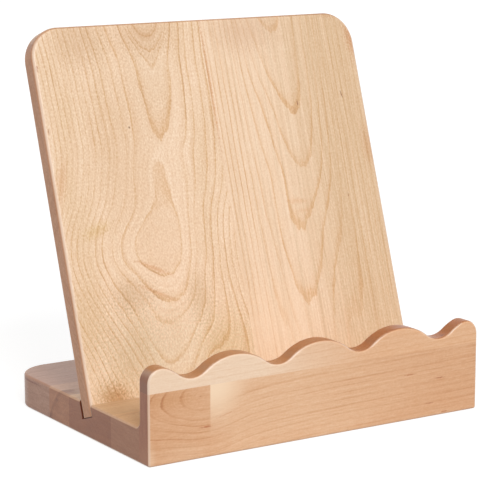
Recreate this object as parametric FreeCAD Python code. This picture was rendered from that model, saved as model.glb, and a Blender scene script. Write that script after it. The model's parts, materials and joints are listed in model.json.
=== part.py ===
import FreeCAD, Part
import math
import os

# A cookbook stand in solid wood. A thick base board is glued up from four boards, and a lip with a
# scalloped top, glued up from two, stands across its front. A square back panel of two boards leans
# back in a slanted groove across the base and lifts out of it.
# Frame: origin on the table at the middle of the footprint, +X to the right as a reader sees the
# stand, the lip at the -Y side, the panel leaning towards +Y, +Z up. Millimetres and degrees.

vec = FreeCAD.Vector

# Base
width = 305.0
base_depth = 210.0
base_thickness = 27.0
rear_corner_radius = 29.0
edge_round = 2.0

# Lip: its ends are rounded over at the top, and four scallops run between five crests
lip_thickness = 14.0
lip_height = 76.3
scallop_count = 4
scallop_depth = 13.0
scallop_radius = 20.0
lip_end_radius = 11.5
cove_radius = 6.0

# Panel
panel_height = 305.0
panel_thickness = 16.0
panel_corner_radius = 26.0
panel_round = 3.0
panel_lean = 18.5

# Groove: its depth is taken up the slope from the base top, along its front wall
ledge_depth = 75.6
groove_depth = 9.2
play_front = 0.2
play_back = 0.8
play_below = 0.5

# Glue lines between the boards
front_seam_setback = 32.6
rear_seam_setback = 35.0
narrow_board_width = 33.4
lip_upper_height = 20.8
panel_seam_offset = 2.3

# Dowels between the lip and the base
dowel_count = 5
dowel_spacing = 60.0
dowel_diameter = 8.0
dowel_chamfer = 0.8
dowel_in_lip = 9.0
dowel_in_base = 21.0
dowel_glue_gap = 0.05
dowel_end_gap = 0.8

# Places that follow from the sizes
half_width = width / 2
front_y = -(lip_thickness + base_depth) / 2
rear_y = front_y + lip_thickness + base_depth
lip_back_y = front_y + lip_thickness
foot_y = lip_back_y + ledge_depth
lip_seam_z = lip_height - lip_upper_height
front_seam_y = foot_y - front_seam_setback
rear_seam_y = foot_y + rear_seam_setback
narrow_seam_y = rear_seam_y + narrow_board_width
clear = 1.0

# The panel's own frame: X across, Y from its front face to its back, Z up the slope, and its origin
# where the front face meets the base top
panel_frame = FreeCAD.Placement(vec(0, foot_y, base_thickness), FreeCAD.Rotation(vec(1, 0, 0), -panel_lean))


def block(low, high):
    """A box between two opposite corners."""
    return Part.makeBox(high[0] - low[0], high[1] - low[1], high[2] - low[2], vec(*low))


def on_circle(centre, radius, degrees):
    """A point of the lip's outline, on a circle in the plane of its front face."""
    turn = math.radians(degrees)
    return vec(centre[0] + radius * math.cos(turn), front_y, centre[1] + radius * math.sin(turn))


def arc(centre, radius, start, end):
    """An arc of the lip's outline from one angle to another."""
    middle = (start + end) / 2
    ends = [on_circle(centre, radius, turn) for turn in (start, middle, end)]
    return Part.Arc(*ends).toShape()


def lip_outline():
    """The lip's front view: crests and scallops are arcs that meet without a kink."""
    pitch = width / scallop_count
    half_pitch = pitch / 2
    both_radii = (half_pitch ** 2 + scallop_depth ** 2) / (2 * scallop_depth)
    crest_radius = both_radii - scallop_radius
    swing = math.degrees(math.asin(half_pitch / both_radii))
    crest_z = lip_height - crest_radius
    scallop_z = lip_height - scallop_depth + scallop_radius

    # Each end is a smaller arc inside the outermost crest's circle, touching the end face
    rise = math.sqrt(crest_radius ** 2 - 2 * crest_radius * lip_end_radius)
    end_z = crest_z + rise
    meet = math.degrees(math.atan2(rise, lip_end_radius))

    left_foot = vec(-half_width, front_y, 0)
    right_foot = vec(half_width, front_y, 0)
    edges = [Part.makeLine(left_foot, vec(-half_width, front_y, end_z))]
    edges.append(arc((lip_end_radius - half_width, end_z), lip_end_radius, 180, meet))
    edges.append(arc((-half_width, crest_z), crest_radius, meet, 90 - swing))
    for scallop in range(scallop_count):
        scallop_x = -half_width + (scallop + 0.5) * pitch
        edges.append(arc((scallop_x, scallop_z), scallop_radius, 270 - swing, 270 + swing))
        if scallop < scallop_count - 1:
            edges.append(arc((scallop_x + half_pitch, crest_z), crest_radius, 90 + swing, 90 - swing))
    edges.append(arc((half_width, crest_z), crest_radius, 90 + swing, 180 - meet))
    edges.append(arc((half_width - lip_end_radius, end_z), lip_end_radius, 180 - meet, 0))
    edges.append(Part.makeLine(vec(half_width, front_y, end_z), right_foot))
    edges.append(Part.makeLine(right_foot, left_foot))
    return Part.Wire(edges)


def cove():
    """The hollow fillet in the corner between the base top and the back of the lip."""
    corner = vec(-half_width, lip_back_y, base_thickness)
    upper = corner + vec(0, 0, cove_radius)
    outer = corner + vec(0, cove_radius, 0)
    reach = cove_radius * (1 - math.sqrt(0.5))
    hollow = Part.Arc(upper, corner + vec(0, reach, reach), outer).toShape()
    profile = Part.Wire([Part.makeLine(corner, upper), hollow, Part.makeLine(outer, corner)])
    return Part.Face(profile).extrude(vec(width, 0, 0))


def sharp_edges(shape):
    """The edges whose two faces meet at an angle, so not those of smooth joints."""
    found = []
    smooth = math.cos(math.radians(10))
    for edge in shape.Edges:
        point = edge.valueAt((edge.FirstParameter + edge.LastParameter) / 2)
        faces = shape.ancestorsOfType(edge, Part.Face)
        normals = [face.normalAt(*face.Surface.parameter(point)) for face in faces]
        if len(normals) == 2 and normals[0].dot(normals[1]) < smooth:
            found.append(edge)
    return found


def base_blank():
    """Base and lip as glued up and rounded over, before they are told apart board by board."""
    board = block((-half_width, lip_back_y, 0), (half_width, rear_y, base_thickness))
    corners = [edge for edge in board.Edges if edge.BoundBox.YMin > rear_y - clear and edge.BoundBox.ZLength > clear]
    board = board.makeFillet(rear_corner_radius, corners)
    lip = Part.Face(lip_outline()).extrude(vec(0, lip_thickness, 0))
    blank = board.fuse([cove(), lip]).removeSplitter()
    return blank.makeFillet(edge_round, sharp_edges(blank))


def slab(low_y, high_y, low_z=-clear, high_z=lip_height + clear):
    """The part of space that one board is cut out of, right across the stand."""
    return block((-half_width - clear, low_y, low_z), (half_width + clear, high_y, high_z))


def groove():
    """The slanted slot that the panel stands in, open at both ends."""
    low = (-half_width - clear, -play_front, -groove_depth)
    high = (half_width + clear, panel_thickness + play_back, base_thickness)
    slot = block(low, high)
    slot.Placement = panel_frame
    return slot


def dowel_row(radius, into_lip, into_base, chamfer=0.0):
    """Round pegs across the joint between lip and base, or the holes for them."""
    pegs = []
    for number in range(dowel_count):
        peg_x = (number - (dowel_count - 1) / 2) * dowel_spacing
        foot = vec(peg_x, lip_back_y - into_lip, base_thickness / 2)
        peg = Part.makeCylinder(radius, into_lip + into_base, foot, vec(0, 1, 0))
        if chamfer:
            rims = [edge for edge in peg.Edges if edge.Closed]
            peg = peg.makeChamfer(chamfer, rims)
        pegs.append(peg)
    return Part.makeCompound(pegs)


def base_boards():
    """The four boards of the base and the two of the lip."""
    blank = base_blank()
    holes = dowel_row(dowel_diameter / 2 + dowel_glue_gap, dowel_in_lip + dowel_end_gap, dowel_in_base + dowel_end_gap)
    behind = rear_y + clear
    before = front_y - clear
    grooved = blank.common(slab(front_seam_y, rear_seam_y)).cut(groove())
    return {
        "base_rear_board": blank.common(slab(narrow_seam_y, behind)),
        "base_narrow_board": blank.common(slab(rear_seam_y, narrow_seam_y)),
        "base_groove_board": grooved,
        "base_front_board": blank.common(slab(lip_back_y, front_seam_y)).cut(holes),
        "lip_lower_board": blank.common(slab(before, lip_back_y, high_z=lip_seam_z)).cut(holes),
        "lip_upper_board": blank.common(slab(before, lip_back_y, low_z=lip_seam_z)),
    }


def panel_blank():
    """The whole panel in its own frame, its edges rounded except along the foot."""
    foot_z = play_below - groove_depth
    board = block((-half_width, 0, foot_z), (half_width, panel_thickness, foot_z + panel_height))
    corners = [edge for edge in board.Edges if edge.BoundBox.ZMin > foot_z + clear and edge.BoundBox.YLength > clear]
    board = board.makeFillet(panel_corner_radius, corners)
    edges = [edge for edge in sharp_edges(board) if edge.BoundBox.ZMax > foot_z + clear]
    return board.makeFillet(panel_round, edges)


def panel_boards():
    """The two boards of the panel, in place on the stand."""
    blank = panel_blank()
    reach = width + panel_height
    left = block((-reach, -clear, -reach), (panel_seam_offset, panel_thickness + clear, reach))
    boards = {"panel_left_board": blank.common(left), "panel_right_board": blank.cut(left)}
    for board in boards.values():
        board.Placement = panel_frame
    return boards


def dowels():
    """The dowels that line the lip up with the base and hold it."""
    return {"lip_dowels": dowel_row(dowel_diameter / 2, dowel_in_lip, dowel_in_base, dowel_chamfer)}


def single(shape):
    """The one solid of a board, without the wrapper that a cut leaves round it."""
    return shape.Solids[0] if len(shape.Solids) == 1 else shape


os.makedirs("parts", exist_ok=True)
nodes = {**base_boards(), **dowels(), **panel_boards()}
for name, shape in nodes.items():
    single(shape).exportStep(f"parts/{name}.step")
    box = shape.BoundBox
    print(f"{name}: {len(shape.Solids)} solid, valid {shape.isValid()}, {shape.Volume / 1000:.1f} cm3,",
          f"X {box.XMin:.1f} to {box.XMax:.1f}, Y {box.YMin:.1f} to {box.YMax:.1f}, Z {box.ZMin:.1f} to {box.ZMax:.1f}")
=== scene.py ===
import bpy
import json
import math
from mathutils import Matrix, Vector


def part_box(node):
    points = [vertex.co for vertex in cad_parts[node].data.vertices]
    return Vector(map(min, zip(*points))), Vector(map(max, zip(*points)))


# A cookbook stand in solid birch: a thick base glued up from four boards, a scalloped lip of two, and
# a leaning panel of two. Each board was sawn from a tree, so it has growth rings round a heart, the
# middle of that tree, and what shows on a face is where the face cuts the rings.
# Blender's lengths are metres. The wood is laid out in millimetres, in each board's own directions:
# across the fibres in the board's face, through the board, and along the fibres.

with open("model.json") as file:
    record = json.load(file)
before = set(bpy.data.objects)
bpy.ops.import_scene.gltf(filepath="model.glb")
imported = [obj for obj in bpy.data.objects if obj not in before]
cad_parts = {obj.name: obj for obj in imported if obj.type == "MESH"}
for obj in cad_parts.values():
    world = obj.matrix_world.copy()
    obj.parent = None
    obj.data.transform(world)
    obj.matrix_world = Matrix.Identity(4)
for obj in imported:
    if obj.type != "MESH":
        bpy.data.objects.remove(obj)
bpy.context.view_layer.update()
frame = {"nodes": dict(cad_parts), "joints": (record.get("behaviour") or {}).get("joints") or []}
nodes = frame["nodes"]
scene = bpy.context.scene
millimetre = 0.001

# Settings that several nodes share
smooth = {"interpolation_type": "SMOOTHSTEP"}
painted = {"data_type": "RGBA"}
tinted = {"data_type": "RGBA", "blend_type": "MULTIPLY"}

# Noise seldom leaves the range between these two
noise_low = 0.3
noise_high = 0.7

# Widths and lengths of the wood's patterns, in millimetres. Birch fibres are 0.02 mm wide and pores
# 0.1 mm, too fine to show in a picture with about one dot to a millimetre. So fibres, the sheen along
# them and pores are drawn a little wider than a dot, and so are streaks, which are bundles of darker or
# paler fibres, really from half a millimetre wide
fibre_size = (1.2, 8)
sheen_size = (1.2, 12)
pore_size = (1.3, 1.9)
streak_size = (1.4, 80)

# A ring's line wavers over the first size, and its late wood is bolder or fainter over the second. On a
# cut end the rings lie in bands of the third size. The outline of a mark wavers over the last
ring_waver_size = (4.5, 30)
ring_patch_size = (14, 60)
end_band_size = (2.4, 14)
mark_waver_size = (1.4, 1.8)

# How far the bands on a cut end and the outline of a mark vary
end_band_strength = 0.085
mark_waver = 0.3

# Where in a year's growth the late wood is: at first the tail of last year's, then none, and most at
# the end. The faintest year's is this share of the boldest year's, and on ends and sides this share of
# it shows
late_wood = [(0, 0.3), (0.06, 0), (0.5, 0.04), (0.7, 0.15), (0.84, 0.5), (0.93, 1), (1, 1)]
faintest_year = 0.7
late_wood_off_face = 0.5

# How much late wood gives each of a board's three tones
tone_stops = (0, 0.45, 1)

# Fibres, streaks and pores make the wood's colour both deeper and darker, as dense wood is
deepening = 1.44
darkening = 0.4

# Rings nearer the heart than the first distance are laid round its own line, and from the second on
# round a smoother one. From the third to the fourth the heart comes to count as less deep
near_heart = 15
far_from_heart = 45
straighten_from = 35
straighten_to = 75

# A rounded edge looks partly along each of two directions: from square to rounded, over these cosines
off_square = (0.15, 0.4)

# A mark fades out between these shares of the way to its outline. A pale patch may be cut off sharply,
# within this many millimetres either way
mark_full = 0.1
mark_gone = 1
half_cut = 0.4
pale_wood = "fee0bf"

# Sanding leaves the fibres standing up a little, which catches the light along them: how high they
# stand, and how strongly it shows
fibre_height = 0.4 * millimetre
fibre_relief = 0.4

# Oil and bare wood both refract about as much as glass. Oil fills the pores and gives a low sheen, and
# wood left raw is duller
wood_ior = 1.5
oiled_roughness = (0.30, 0.42)
raw_roughness = (0.55, 0.7)


def colour(code):
    """An sRGB hex code as the linear colour, with alpha, that the nodes work in."""
    channels = [int(code[place:place + 2], 16) / 255 for place in (0, 2, 4)]
    linear = [c / 12.92 if c <= 0.04045 else ((c + 0.055) / 1.055) ** 2.4 for c in channels]
    return (*linear, 1.0)


def add(tree, kind, inputs=(), points=(), stops=(), **settings):
    """Add a node with its settings. Its inputs come by name, or in the order in which it shows them,
    each as a value, a socket, or a node whose first output is meant. Points are those of a curve, and
    stops those of a colour ramp."""
    node = tree.nodes.new(kind)
    for name, value in settings.items():
        setattr(node, name, value)
    if points:
        node.mapping.use_clip = False
        node.mapping.extend = "EXTRAPOLATED"
        bend = node.mapping.curves[0].points
        for _ in points[2:]:
            bend.new(0, 0)
        for place, point in enumerate(points):
            bend[place].location = point
            bend[place].handle_type = "AUTO_CLAMPED"
        node.mapping.update()
    for place, (position, tone) in enumerate(stops):
        ramp = node.color_ramp.elements
        stop = ramp[place] if place < 2 else ramp.new(position)
        stop.position = position
        stop.color = tone
    shown = [socket for socket in node.inputs if socket.enabled]
    given = inputs.items() if isinstance(inputs, dict) else zip(shown, inputs)
    for socket, value in given:
        socket = node.inputs[socket] if isinstance(socket, str) else socket
        if isinstance(value, bpy.types.Node):
            value = next(output for output in value.outputs if output.enabled)
        if isinstance(value, bpy.types.NodeSocket):
            tree.links.new(value, socket)
        else:
            socket.default_value = value
    return node


def new_tree(name):
    """A new material and its node tree, empty."""
    material = bpy.data.materials.new(name)
    material.use_nodes = True
    material.node_tree.nodes.clear()
    return material, material.node_tree


# The panel's own directions come from the joint that it slides on: up its slope, and through it
up_slope = Vector(frame["joints"][0]["axis"])
lean = math.atan2(up_slope.y, up_slope.z)
into_panel = Vector((0, up_slope.z, -up_slope.y))
base_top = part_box("base_rear_board")[1].z
front_offset = min(vertex.co.dot(into_panel) for vertex in nodes["panel_left_board"].data.vertices)
panel_foot = Vector((0, (front_offset + up_slope.y * base_top) / up_slope.z, base_top))
lip_front = Vector((0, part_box("lip_lower_board")[0].y, 0))
right = Vector((1, 0, 0))
backwards = Vector((0, 1, 0))
up = Vector((0, 0, 1))

# How each group of boards lies: where its millimetres start and how they are turned, which of the
# turned directions run across, through and along the board, which way its ends, its face and its
# sides look, and over which cosines each of these counts, so that its tone fades on a rounded edge
panel_lie = {
    "start": panel_foot, "turn": (-lean, 0, 0), "axes": "XYZ",
    "ends": up_slope, "face": into_panel, "sides": right,
    "end_cosines": (0.2, 0.6), "face_cosines": (0.8, 0.98), "side_cosines": (0.7, 0.95),
}
lip_lie = {
    "start": lip_front, "turn": (0, 0, 0), "axes": "ZYX",
    "ends": right, "face": backwards, "sides": up,
    "end_cosines": (0.4, 1), "face_cosines": (0.1, 0.5), "side_cosines": (0.5, 0.9),
}
base_lie = {
    "start": Vector((0, 0, 0)), "turn": (0, 0, 0), "axes": "YZX",
    "ends": right, "face": up, "sides": backwards,
    "end_cosines": (0.2, 0.6), "face_cosines": (0.1, 0.5), "side_cosines": (0.7, 0.95),
}

# The groove in the panel's directions: its middle and half its width, a little wider than it is, its
# floor, a little deeper, and in the base's directions its rim, just under the base top
groove_margin = 0.25
groove_middle = 8.3
groove_half = 8.5 + groove_margin
groove_floor = -9.2 - groove_margin
groove_rim = base_top / millimetre - 0.1


def in_millimetres(tree, place, lie):
    """A board's own directions, in millimetres: across, through and along it."""
    scale = (millimetre, millimetre, millimetre)
    inputs = (place.outputs["Object"], lie["start"], lie["turn"], scale)
    turned = add(tree, "ShaderNodeMapping", inputs, vector_type="TEXTURE")
    split = add(tree, "ShaderNodeSeparateXYZ", (turned,))
    return [split.outputs[axis] for axis in lie["axes"]]


def facing(tree, place, direction, low, high):
    """How squarely the surface looks along a direction, either way: 0 at one cosine, 1 at another."""
    inputs = (place.outputs["Normal"], direction)
    cosine = add(tree, "ShaderNodeVectorMath", inputs, operation="DOT_PRODUCT").outputs["Value"]
    cosine = add(tree, "ShaderNodeMath", (cosine,), operation="ABSOLUTE")
    return add(tree, "ShaderNodeMapRange", (cosine, low, high), **smooth)


def chance(tree, vector, size, low, high, detail=2, roughness=0.5):
    """Spots of chance, so many millimetres wide and long, as a number between two others."""
    wide, long = size
    shrink = (1 / wide, 1 / wide, 1 / long)
    shrunk = add(tree, "ShaderNodeVectorMath", (vector, shrink), operation="MULTIPLY")
    inputs = {"Vector": shrunk, "Scale": 1, "Detail": detail, "Roughness": roughness}
    spots = add(tree, "ShaderNodeTexNoise", inputs)
    return add(tree, "ShaderNodeMapRange", (spots, noise_low, noise_high, low, high))


def heart_distance(tree, board, directions):
    """How far each point of a board is from the heart of its tree, which wanders along the board."""
    across, through, along = directions
    heart = add(tree, "ShaderNodeFloatCurve", {"Value": along}, points=board["heart"])
    if "far_heart" in board:
        far = add(tree, "ShaderNodeFloatCurve", {"Value": along}, points=board["far_heart"])
        apart = add(tree, "ShaderNodeMath", (across, far), operation="SUBTRACT")
        apart = add(tree, "ShaderNodeMath", (apart,), operation="ABSOLUTE")
        share = add(tree, "ShaderNodeMapRange", (apart, near_heart, far_from_heart), **smooth)
        heart = add(tree, "ShaderNodeMix", (share, heart, far))
    beside = add(tree, "ShaderNodeMath", (across, heart), operation="SUBTRACT")
    behind = add(tree, "ShaderNodeFloatCurve", {"Value": along}, points=board["depth"])
    if "straighten" in board:
        inputs = (beside, straighten_from, straighten_to, 1, board["straighten"])
        kept = add(tree, "ShaderNodeMapRange", inputs, **smooth)
        behind = add(tree, "ShaderNodeMath", (behind, kept), operation="MULTIPLY")
    behind = add(tree, "ShaderNodeMath", (behind, through), operation="ADD")
    offset = add(tree, "ShaderNodeCombineXYZ", (beside, behind))
    radius = add(tree, "ShaderNodeVectorMath", (offset,), operation="LENGTH").outputs["Value"]
    if "innermost" in board:
        innermost = add(tree, "ShaderNodeMapRange", (along, *board["innermost"]))
        radius = add(tree, "ShaderNodeMath", (radius, innermost), operation="MAXIMUM")
    if "upright" in board:
        near, far, gap = board["upright"]
        aside = add(tree, "ShaderNodeMath", (beside,), operation="ABSOLUTE")
        share = add(tree, "ShaderNodeMapRange", (aside, near, far), **smooth)
        straight = add(tree, "ShaderNodeMath", (aside, gap), operation="ADD")
        radius = add(tree, "ShaderNodeMix", (share, radius, straight))
    return radius


def late_wood_share(tree, board, radius, directions, grain):
    """How much of the thin dark wood that ends each year's ring there is at each point."""
    across, _, along = directions
    low, high = -board["ragged"], board["ragged"]
    waver = chance(tree, grain, ring_waver_size, low, high, detail=3, roughness=0.55)
    rough_radius = add(tree, "ShaderNodeMath", (radius, waver), operation="ADD")
    ring = add(tree, "ShaderNodeFloatCurve", {"Value": rough_radius}, points=board["rings"])
    fraction = add(tree, "ShaderNodeMath", (ring,), operation="FRACT")
    share = add(tree, "ShaderNodeFloatCurve", {"Value": fraction}, points=late_wood)
    number = add(tree, "ShaderNodeMath", (ring,), operation="FLOOR")
    year = add(tree, "ShaderNodeTexWhiteNoise", (number,), noise_dimensions="1D")
    year = add(tree, "ShaderNodeMapRange", (year, 0, 1, faintest_year, 1))
    bold_across = add(tree, "ShaderNodeFloatCurve", {"Value": across}, points=board["bold_across"])
    bold_along = add(tree, "ShaderNodeFloatCurve", {"Value": along}, points=board["bold_along"])
    if "steady" in board:
        steady = add(tree, "ShaderNodeFloatCurve", {"Value": across}, points=board["steady"])
        bold_along = add(tree, "ShaderNodeMath", (bold_along, steady), operation="MAXIMUM")
    patchy = chance(tree, grain, ring_patch_size, *board["patchy"])
    for factor in (year, bold_across, bold_along, patchy):
        share = add(tree, "ShaderNodeMath", (share, factor), operation="MULTIPLY")
    return share


def fine_figure(tree, board, radius, directions, grain, end):
    """How much paler or darker than the wood round it each point is made by streaks, fibres, pores and
    the bands on a cut end, 1 being neither, and the fibres alone."""
    across, through, along = directions
    streaks_run = {"rings": radius, "fibres": across}[board["streaks_follow"]]
    contour = add(tree, "ShaderNodeCombineXYZ", (streaks_run, 0, along))
    low, high = 1 - board["streak"], 1 + board["streak"]
    level = chance(tree, contour, streak_size, low, high, detail=3, roughness=0.6)
    low, high = 1 - board["fibre"], 1 + board["fibre"]
    fibre = chance(tree, grain, fibre_size, low, high, detail=3, roughness=0.6)
    low, high = 1 - board["pore"], 1 + board["pore"]
    pore = chance(tree, grain, pore_size, low, high, detail=1)
    end_grain = add(tree, "ShaderNodeCombineXYZ", (through, along, across))
    low, high = -end_band_strength, end_band_strength
    band = chance(tree, end_grain, end_band_size, low, high, detail=3, roughness=0.6)
    band = add(tree, "ShaderNodeMath", (band, end, 1), operation="MULTIPLY_ADD")
    for other in (fibre, pore, band):
        level = add(tree, "ShaderNodeMath", (level, other), operation="MULTIPLY")
    return level, fibre


def into_oval(tree, grain, middle, size, turned=0):
    """How far out in an oval each point is: 0 at its middle and 1 on its outline."""
    half = [length / 2 for length in size]
    inputs = (grain, middle, (0, math.radians(turned), 0), half)
    oval = add(tree, "ShaderNodeMapping", inputs, vector_type="TEXTURE")
    return add(tree, "ShaderNodeVectorMath", (oval,), operation="LENGTH").outputs["Value"]


def groove_walls(tree, place, height):
    """1 on the walls and the floor of the groove that the panel stands in, and 0 elsewhere."""
    _, through, along = in_millimetres(tree, place, panel_lie)
    off_middle = add(tree, "ShaderNodeMath", (through, groove_middle), operation="SUBTRACT")
    off_middle = add(tree, "ShaderNodeMath", (off_middle,), operation="ABSOLUTE")
    between = add(tree, "ShaderNodeMath", (off_middle, groove_half), operation="LESS_THAN")
    above = add(tree, "ShaderNodeMath", (along, groove_floor), operation="GREATER_THAN")
    below = add(tree, "ShaderNodeMath", (height, groove_rim), operation="LESS_THAN")
    walls = add(tree, "ShaderNodeMath", (between, above), operation="MULTIPLY")
    return add(tree, "ShaderNodeMath", (walls, below), operation="MULTIPLY")


def wood(name, lie, board):
    """A board's wood, from the tree that it came from to the finish on it."""
    material, tree = new_tree(name)
    place = add(tree, "ShaderNodeTexCoord")
    directions = in_millimetres(tree, place, lie)
    across, through, along = directions
    grain = add(tree, "ShaderNodeCombineXYZ", directions)

    # A cut end keeps its own tone up to where sanding has rounded its edge
    end = facing(tree, place, lie["ends"], *lie["end_cosines"])
    face = facing(tree, place, lie["face"], *lie["face_cosines"])
    off_face = add(tree, "ShaderNodeMath", (1, face), operation="SUBTRACT")
    end = add(tree, "ShaderNodeMath", (end, off_face), operation="MULTIPLY")
    side = facing(tree, place, lie["sides"], *lie["side_cosines"])
    # Painted light: a rounded edge between the face and the left or right is painted a tone of its own
    towards_right = facing(tree, place, right, *off_square)
    towards_face = facing(tree, place, lie["face"], *off_square)
    rounded = add(tree, "ShaderNodeMath", (towards_right, towards_face), operation="MULTIPLY")
    rounded = add(tree, "ShaderNodeMath", (rounded, board["edge_light_share"]), operation="MULTIPLY")

    # Pale wood, and the late wood in its rings
    radius = heart_distance(tree, board, directions)
    late = late_wood_share(tree, board, radius, directions, grain)
    for turned_away in (end, side):
        fade = add(tree, "ShaderNodeMapRange", (turned_away, 0, 1, 1, late_wood_off_face))
        late = add(tree, "ShaderNodeMath", (late, fade), operation="MULTIPLY")
    stops = [(position, colour(code)) for position, code in zip(tone_stops, board["tones"])]
    tone = add(tree, "ShaderNodeValToRGB", (late,), stops=stops)

    # The wood drifts from pale to tan over the board, and back
    sweep = {"across": across, "along": along}[board["tan_runs"]]
    tan = add(tree, "ShaderNodeFloatCurve", {"Value": sweep}, points=board["tan"])
    drift = chance(tree, grain, board["drift_size"], -board["drift"], board["drift"])
    tan = add(tree, "ShaderNodeMath", (tan, drift), operation="ADD", use_clamp=True)
    tone = add(tree, "ShaderNodeMix", (tan, tone, colour(board["tan_tint"])), **tinted)

    # Streaks, fibres and pores
    level, fibre = fine_figure(tree, board, radius, directions, grain, end)
    deeper = add(tree, "ShaderNodeMath", (level, -deepening, 1 + deepening), operation="MULTIPLY_ADD")
    tone = add(tree, "ShaderNodeGamma", (tone, deeper))
    darker = add(tree, "ShaderNodeMath", (level, darkening, 1 - darkening), operation="MULTIPLY_ADD")
    tone = add(tree, "ShaderNodeVectorMath", (tone, darker), operation="SCALE")

    # Marks, and patches of paler wood
    waver = chance(tree, grain, mark_waver_size, -mark_waver, mark_waver)
    for middle, size, turned, code, most in board["marks"]:
        reach = into_oval(tree, grain, middle, size, turned)
        reach = add(tree, "ShaderNodeMath", (reach, waver), operation="ADD")
        cover = add(tree, "ShaderNodeMapRange", (reach, mark_full, mark_gone, most, 0), **smooth)
        tone = add(tree, "ShaderNodeMix", (cover, tone, colour(code)), **tinted)
    for middle, size, most, cut in board.get("pale", []):
        reach = into_oval(tree, grain, middle, size)
        cover = add(tree, "ShaderNodeMapRange", (reach, mark_full, mark_gone, most, 0), **smooth)
        if cut is not None:
            beyond = add(tree, "ShaderNodeMapRange", (along, cut - half_cut, cut + half_cut))
            cover = add(tree, "ShaderNodeMath", (cover, beyond), operation="MULTIPLY")
        tone = add(tree, "ShaderNodeMix", (cover, tone, colour(pale_wood)), **painted)

    # The groove's walls are painted dark: painted shade for the gap round the panel's foot. Rounded
    # edges
    # are painted in a tone of their own: painted light for how they catch it. Cut ends take up more oil
    # than faces do and are the darker for it
    if "groove" in board:
        walls = groove_walls(tree, place, through)
        tone = add(tree, "ShaderNodeMix", (walls, tone, colour(board["groove"])), **tinted)
    tone = add(tree, "ShaderNodeMix", (rounded, tone, colour(board["edge_light_tone"])), **painted)
    for cover, code in ((end, board["end_tint"]), (side, board["side_tint"])):
        tone = add(tree, "ShaderNodeMix", (cover, tone, colour(code)), **tinted)

    # Fibres give relief and sheen
    relief = {"Height": fibre, "Strength": fibre_relief, "Distance": fibre_height}
    ridge = add(tree, "ShaderNodeBump", relief)
    sheen = chance(tree, grain, sheen_size, *board["sheen"])
    inputs = {"Base Color": tone, "Roughness": sheen, "IOR": wood_ior, "Normal": ridge}
    shader = add(tree, "ShaderNodeBsdfPrincipled", inputs)
    add(tree, "ShaderNodeOutputMaterial", (shader,))
    return material
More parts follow.
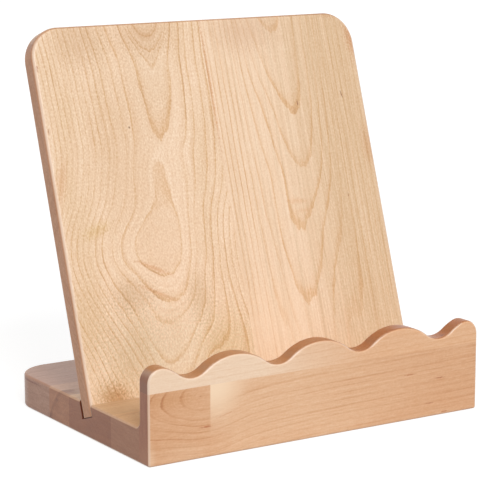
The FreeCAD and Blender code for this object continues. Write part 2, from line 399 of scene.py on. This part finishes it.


# What the boards' values say. Places and sizes are in millimetres, curves are points of a place and
# the value there, and colours are hex codes. A tint is what the tone under it is multiplied by.
# heart, depth: where the heart lies across the board and how far it lies before its face or, in the
# base, below it, place by place along the board
# far_heart: where the line lies that rings far from the heart are laid round
# straighten: the share of the depth that is left for rings far to the right of the heart
# innermost: two places along the board, and the smallest ring that shows before one and after the other
# upright: how far beside the heart rings begin and end to turn straight, and how far out they then lie
# ragged: how far a ring's line wavers
# rings: how many years' rings lie within a distance from the heart
# bold_across, bold_along: how bold the late wood is, and steady, the least that bold_along counts for
# patchy: the least and the most that chance makes of the late wood
# tan, tan_tint, tan_runs: how tan the wood is, how that looks, and which way along or across it is told
# drift, drift_size: how far chance changes the tan, and over what width and length
# streaks_follow, streak, fibre, pore: what streaks run along, and how far each thing varies the tone
# tones: early wood, the wood between, and late wood
# end_tint, side_tint, groove: what tints the cut ends and the sides, and the painted shade on the
# groove's walls
# edge_light_share, edge_light_tone: how much of a rounded edge is painted over, and the tone painted
# there, as painted light
# sheen: the least and the most roughness
# marks: ovals that tint the wood, each with its middle, size, turn in degrees, tint and share. The
# small ones are flecks. The large, faint ones bring the tone near the photograph's, as measured at
# spots, and so they also make up for what these lights and chance do there
# pale: ovals of paler wood, each with its middle, size, share, and where it is cut off along the board
panel_left = {
    "heart": [(0, -79), (25, -76), (55, -71), (75, -66), (112, -69), (150, -59), (185, -57), (205, -51),
              (250, -48), (297, -48)],
    "far_heart": [(0, -56), (35, -61), (66, -69), (100, -74), (130, -71), (165, -58),
                  (210, -51), (297, -53)],
    "depth": [(0, 55), (22, 49.5), (52, 41.6), (70, 35.8), (91, 26.5), (115, 15), (150, 25), (178, 26.1),
              (190, 27), (214, 25), (240, 22.4), (270, 19.5), (297, 7)],
    "straighten": 0.45,
    "innermost": (195, 210, 24, 0),
    "ragged": 0.4,
    "rings": [(0, -1), (11.5, -0.4), (14, 0), (19, 1), (21.2, 2), (26.5, 3), (35.8, 4), (41.6, 5),
              (49.5, 6), (149.5, 28)],
    "bold_across": [(-152, 0.78), (-95, 0.72), (-75, 0.72), (-50, 0.72), (-30, 0.78), (2, 0.72)],
    "bold_along": [(0, 0.58), (60, 0.7), (95, 0.85), (120, 0.62), (150, 0.48), (185, 0.38),
                   (198, 0.55), (230, 0.7), (297, 0.78)],
    "steady": [(-152, 0.5), (-125, 0.5), (-100, 0), (-42, 0), (-22, 0.8), (2, 0.8)],
    "patchy": (0.5, 1.2),
    "tan_runs": "across",
    "tan": [(-152, 0.3), (-110, 0.3), (-80, -0.15), (-55, -0.15), (-20, 0.3), (2, 0.3)],
    "tan_tint": "f0eadc",
    "streaks_follow": "rings",
    "streak": 0.08,
    "fibre": 0.06,
    "pore": 0.115,
    "tones": ("f2d3b4", "e3bb91", "b67d48"),
    "end_tint": "d8bca6",
    "side_tint": "dfb79e",
    "drift": 0.35,
    "drift_size": (25, 90),
    "sheen": oiled_roughness,
    "edge_light_share": 0.7,
    "edge_light_tone": "efd2bb",
    "marks": [
        ((-78, 0, 212), (1.5, 3, 2.5), 0, "8a6a50", 1),
        ((-150, 0, 264), (3, 4, 8), 0, "c8a490", 0.8),
        ((-149, 0, 214), (2, 4, 6), 0, "c8a490", 0.8),
        ((-146, 0, 172), (14, 20, 60), 18, "f6ebe1", 1),
        ((-122, 0, 133), (38, 20, 16), -20, "f4efdc", 1),
        ((-128, 0, 2), (34, 20, 30), 0, "ecdac6", 1),
        ((-105, 0, 40), (80, 40, 100), 0, "f2f0ea", 1),
        ((-77, 0, 98.5), (48, 20, 5.5), 26, "f2e2d4", 1),
        ((-76, 0, 78), (58, 20, 5), 26, "f2e4d6", 1),
        ((-50, 0, 250), (70, 20, 110), 0, "f8f6f2", 1),
        ((-75, 0, 20), (200, 40, 130), 0, "f5fbfa", 1),
        ((-142, 0, 62), (60, 20, 84), 0, "f3efe5", 1),
        ((-134, 0, 6), (36, 20, 36), 0, "e8e2d5", 1),
        ((-20, 0, 30), (84, 20, 84), 0, "f4f1e3", 1),
        ((-110, 0, 284), (64, 20, 64), 0, "eee7de", 1),
        ((-52, 0, 286), (84, 20, 50), 0, "ede4d9", 1),
        ((-84, 0, 190), (100, 20, 210), 0, "f5f0e9", 1),
        ((-100, 0, 80), (60, 20, 40), 0, "ede8e0", 1),
        ((-40, 0, 72), (34, 20, 60), 0, "eee9df", 1),
    ],
}
panel_right = {
    "heart": [(0, 66), (55, 62), (90, 64), (116, 66), (140, 72), (166, 78), (190, 79),
              (215, 79), (250, 75), (297, 70)],
    "far_heart": [(0, 74), (297, 74)],
    "depth": [(0, 50), (30, 47.7), (60, 44.5), (100, 39.8), (150, 34.4), (180, 30), (212, 25.5),
              (250, 19.5), (280, 14.5), (297, 8)],
    "upright": (30, 55, 10),
    "ragged": 0.4,
    "rings": [(0, -1), (14, 0), (25.5, 1), (32.1, 2), (38.3, 3), (45, 4), (51.7, 5), (151.7, 26)],
    "bold_across": [(2, 0.68), (15, 0.58), (46, 0.46), (56, 0.46), (88, 0.52), (105, 0.45), (152, 0.36)],
    "bold_along": [(0, 0.45), (40, 0.55), (60, 1), (215, 1), (297, 0.85)],
    "patchy": (0.5, 1.2),
    "tan_runs": "across",
    "tan": [(2, 0.12), (45, 0.06), (75, 0.45), (110, 0.95), (152, 1)],
    "tan_tint": "eae4d7",
    "streaks_follow": "fibres",
    "streak": 0.082,
    "fibre": 0.06,
    "pore": 0.065,
    "tones": ("f2d3b4", "e4ba8f", "b87b49"),
    "end_tint": "d8bca6",
    "side_tint": "dfb79e",
    "drift": 0.36,
    "drift_size": (3.2, 200),
    "sheen": oiled_roughness,
    "edge_light_share": 0.7,
    "edge_light_tone": "efd2bb",
    "marks": [
        ((130, 0, 225), (1.4, 3, 9), -12, "a07860", 1),
        ((84.5, 0, 221), (1.6, 3, 7), 0, "a88068", 1),
        ((119, 0, 139), (1.4, 3, 6), 0, "cdae9c", 1),
        ((152, 0, 278), (24, 30, 60), 0, "ecd0bc", 1),
        ((138, 0, 298), (50, 30, 18), 0, "ecd4c0", 1),
        ((150, 0, 180), (22, 20, 50), 0, "f4e8de", 1),
        ((68, 0, 139), (30, 20, 7), 4, "f8ece0", 0.8),
        ((72, 0, 131), (22, 20, 5), -5, "faf2ea", 0.8),
        ((3, 0, 240), (4, 20, 150), 0, "e8ceb6", 1),
        ((44, 0, 285), (96, 20, 56), 0, "f2ece8", 1),
    ],
    "pale": [((25, 0, 40), (120, 40, 110), 0.22, None)],
}
lip_lower = {
    "heart": [(-152, 45), (-125, 48.5), (-100, 48), (-60, 55), (-20, 58), (60, 60), (152, 62)],
    "depth": [(-152, 23.5), (-142, 20), (-126, 13), (-107, 7), (-60, 9), (152, 9)],
    "innermost": (-101, -99, 0, 7.5),
    "ragged": 0.3,
    "rings": [(0, 0), (7, 1), (13, 2), (20, 3), (24, 4), (81, 14)],
    "bold_across": [(0, 0.8), (56, 1)],
    "bold_along": [(-152, 0.55), (-101, 0.52), (-98, 0.3), (-60, 0.38), (0, 0.33), (152, 0.32)],
    "patchy": (0.1, 1.4),
    "tan_runs": "along",
    "tan": [(-152, 0.9), (-102, 0.6), (-70, 0), (0, 0.05), (100, 0.7), (152, 0.9)],
    "tan_tint": "f0e2d6",
    "streaks_follow": "rings",
    "streak": 0.055,
    "fibre": 0.055,
    "pore": 0.03,
    "tones": ("e9bc95", "d9a478", "a4643c"),
    "end_tint": "c59d88",
    "side_tint": "ffffff",
    "drift": 0.12,
    "drift_size": (25, 90),
    "sheen": oiled_roughness,
    "edge_light_share": 0.7,
    "edge_light_tone": "eccdb6",
    "marks": [
        ((24, 0, -103), (2.5, 3, 14), 0, "dcb8a2", 1),
        ((31, 0, 115), (1.5, 3, 14), 0, "d4ae98", 1),
        ((37.5, 0, 85), (1.5, 3, 16), 0, "e0c2ae", 1),
        ((11.5, 0, 105), (1.5, 3, 12), 0, "d8b8a4", 1),
        ((2.5, 0, 120), (1.5, 3, 10), 0, "d8b4a0", 1),
        ((31, 0, -86), (2, 3, 26), 14, "f0dccc", 1),
        ((50, 0, -135), (20, 20, 60), 0, "f8f3ea", 1),
    ],
    "pale": [
        ((55, 0, -97), (60, 30, 76), 0.95, -99.5),
        ((36, 0, -94), (46, 30, 44), 0.3, -99.5),
        ((4, 7, -152), (44, 40, 16), 0.45, None),
        ((4, 0, -125), (30, 30, 70), 0.2, None),
    ],
}
lip_upper = {
    "heart": [(-152, -60), (152, -50)],
    "depth": [(-152, 20), (152, 20)],
    "ragged": 0.3,
    "rings": [(0, 0), (200, 40)],
    "bold_across": [(50, 1), (80, 1)],
    "bold_along": [(-152, 0.15), (152, 0.3)],
    "patchy": (0.3, 1.2),
    "tan_runs": "along",
    "tan": [(-152, 0), (-60, 0.05), (0, 0.6), (45, 0.85), (110, 0.95), (152, 1)],
    "tan_tint": "efd5bd",
    "streaks_follow": "rings",
    "streak": 0.03,
    "fibre": 0.05,
    "pore": 0.03,
    "tones": ("f6d8bb", "e8c19a", "c2936a"),
    "end_tint": "9e7058",
    "side_tint": "c59a72",
    "drift": 0.1,
    "drift_size": (25, 90),
    "sheen": oiled_roughness,
    "edge_light_share": 0.7,
    "edge_light_tone": "f0d6c2",
    "marks": [
        ((63, 5, 121), (4, 10, 8), 0, "a87058", 1),
        ((70, 0, -121), (8, 10, 26), 0, "f6eae0", 1),
    ],
}
base_front = {
    "heart": [(-152, -40), (152, -36)],
    "depth": [(-152, 60), (152, 66)],
    "ragged": 0.3,
    "rings": [(0, 0), (200, 40)],
    "bold_across": [(-100, 0.25), (100, 0.25)],
    "bold_along": [(-152, 1), (152, 1)],
    "patchy": (0.3, 1.2),
    "tan_runs": "across",
    "tan": [(-100, 0.4), (-56, 0.3)],
    "tan_tint": "f0eadc",
    "streaks_follow": "rings",
    "streak": 0.05,
    "fibre": 0.05,
    "pore": 0.04,
    "tones": ("e6bb91", "d6a67a", "b07c54"),
    "end_tint": "c5a293",
    "side_tint": "ffffff",
    "drift": 0.1,
    "drift_size": (25, 90),
    "sheen": oiled_roughness,
    "edge_light_share": 0.6,
    "edge_light_tone": "d8a988",
    "marks": [],
}
base_groove = dict(
    base_front, heart=[(-152, -5), (152, 2)], depth=[(-152, 22), (152, 28)],
    # groove: painted shade, a dark tint on the groove's walls for the gap round the panel's foot
    tones=("deb68e", "cea277", "aa7a54"), end_tint="bc8b6e", groove="94624c",
)
base_narrow = dict(
    base_front, heart=[(-152, -12), (152, -8)], depth=[(-152, 21), (152, 25)],
    tones=("c99e82", "b98b6a", "996649"), end_tint="e8c3a3",
    rings=[(0, 0), (58, 0.84), (61.5, 0.95), (62.5, 1), (200, 2.5)], bold_across=[(12, 2), (46, 2)],
    bold_along=[(-152, 1), (-147, 1), (-138, 0.2), (152, 0.2)],
)
base_rear = dict(
    base_front, heart=[(-152, 110), (152, 104)], depth=[(-152, 40), (152, 44)],
    tones=("bb907a", "ac7f69", "916652"), end_tint="f8eade", edge_light_tone="c08a6c",
    marks=[((80, 23.5, -152), (50, 2.5, 8), 0, "d0a894", 1)],
)
dowel = dict(
    base_front, heart=[(-152, -90), (152, -90)], depth=[(-152, 30), (152, 30)],
    tones=("dcb48e", "d2a880", "b98c66"), sheen=raw_roughness, edge_light_share=0,
)

# Birch, planed, sanded and wiped with oil, has a low sheen over pale wood with thin brown late wood.
# The dowels are beech, turned and left raw, so they are a shade darker and have hardly any sheen
finishes = {
    "panel_left_board": ("oiled birch, panel left board", panel_lie, panel_left),
    "panel_right_board": ("oiled birch, panel right board", panel_lie, panel_right),
    "lip_lower_board": ("oiled birch, lip lower board", lip_lie, lip_lower),
    "lip_upper_board": ("oiled birch, lip upper board", lip_lie, lip_upper),
    "base_rear_board": ("oiled birch, base rear board", base_lie, base_rear),
    "base_narrow_board": ("oiled birch, base narrow board", base_lie, base_narrow),
    "base_groove_board": ("oiled birch, base groove board", base_lie, base_groove),
    "base_front_board": ("oiled birch, base front board", base_lie, base_front),
    "lip_dowels": ("raw beech dowels", base_lie, dowel),
}
for node_name, (finish_name, lie, board) in finishes.items():
    nodes[node_name].material_slots[0].material = wood(finish_name, lie, board)

# Camera, at the photograph's angle: it looks a little down, from the left
camera_tilt = 0.195
camera_turn = -0.569
camera = bpy.data.objects.new("camera", bpy.data.cameras.new("camera"))
camera.data.lens = 149.96
camera.data.sensor_width = 36
camera.location = (-0.879634, -1.38639, 0.452495)
camera.rotation_euler = (math.pi / 2 - camera_tilt, 0, camera_turn)
scene.collection.objects.link(camera)
scene.camera = camera


# How many degrees wide a light is, as wide as a studio lamp behind a diffuser
light_width = 30


def sun(name, strength, direction):
    """A soft light that comes from a direction."""
    light = bpy.data.objects.new(name, bpy.data.lights.new(name, "SUN"))
    light.data.energy = strength
    light.data.angle = math.radians(light_width)
    light.rotation_euler = Vector(direction).to_track_quat("Z", "Y").to_euler()
    scene.collection.objects.link(light)
    return light


# The key light is high in front. The fill is low behind, to lift the back and the scallops' rear
# slopes, and leaves no highlight
sun("key", 1.88, (-0.1, -0.8, 0.6))
fill = sun("fill", 0.8, (0.3, 1.0, 0.12))
fill.visible_glossy = False


def seen_directly(tree):
    """1 for what the camera sees, straight or by way of a shine or a clear piece, and 0 otherwise."""
    path = add(tree, "ShaderNodeLightPath")
    kinds = [path.outputs[kind] for kind in ("Is Camera Ray", "Is Glossy Ray", "Is Transmission Ray")]
    first = add(tree, "ShaderNodeMath", kinds[:2], operation="ADD")
    return add(tree, "ShaderNodeMath", (first, kinds[2]), operation="ADD", use_clamp=True)


# The room is white to look at, and lights the object more weakly than that
room_light = 0.45
world = bpy.data.worlds.new("studio")
scene.world = world
world.use_nodes = True
world.node_tree.nodes.clear()
seen = seen_directly(world.node_tree)
strength = add(world.node_tree, "ShaderNodeMapRange", (seen, 0, 1, room_light, 1))
sky = add(world.node_tree, "ShaderNodeBackground", {"Color": colour("ffffff"), "Strength": strength})
add(world.node_tree, "ShaderNodeOutputWorld", (sky,))

# Floor: matt and pale grey for the light that it throws back, near white to look at, so that it meets
# the white room, and a little of its shadow still shows
half_floor = 6.0
floor_glow = 0.8
corners = [(-half_floor, -half_floor, 0), (half_floor, -half_floor, 0), (half_floor, half_floor, 0),
           (-half_floor, half_floor, 0)]
floor_mesh = bpy.data.meshes.new("floor")
floor_mesh.from_pydata(corners, [], [(0, 1, 2, 3)])
floor = bpy.data.objects.new("floor", floor_mesh)
scene.collection.objects.link(floor)
floor_paint, floor_tree = new_tree("matt white floor")
paint = add(floor_tree, "ShaderNodeBsdfDiffuse", {"Color": colour("bababa")})
glow = add(floor_tree, "ShaderNodeEmission", {"Color": colour("ffffff"), "Strength": floor_glow})
shade = add(floor_tree, "ShaderNodeBsdfDiffuse", {"Color": colour("a0a0a0")})
shown = add(floor_tree, "ShaderNodeAddShader", (glow, shade))
surface = add(floor_tree, "ShaderNodeMixShader", (seen_directly(floor_tree), paint, shown))
add(floor_tree, "ShaderNodeOutputMaterial", (surface,))
floor_mesh.materials.append(floor_paint)

scene.view_settings.view_transform = "Standard"
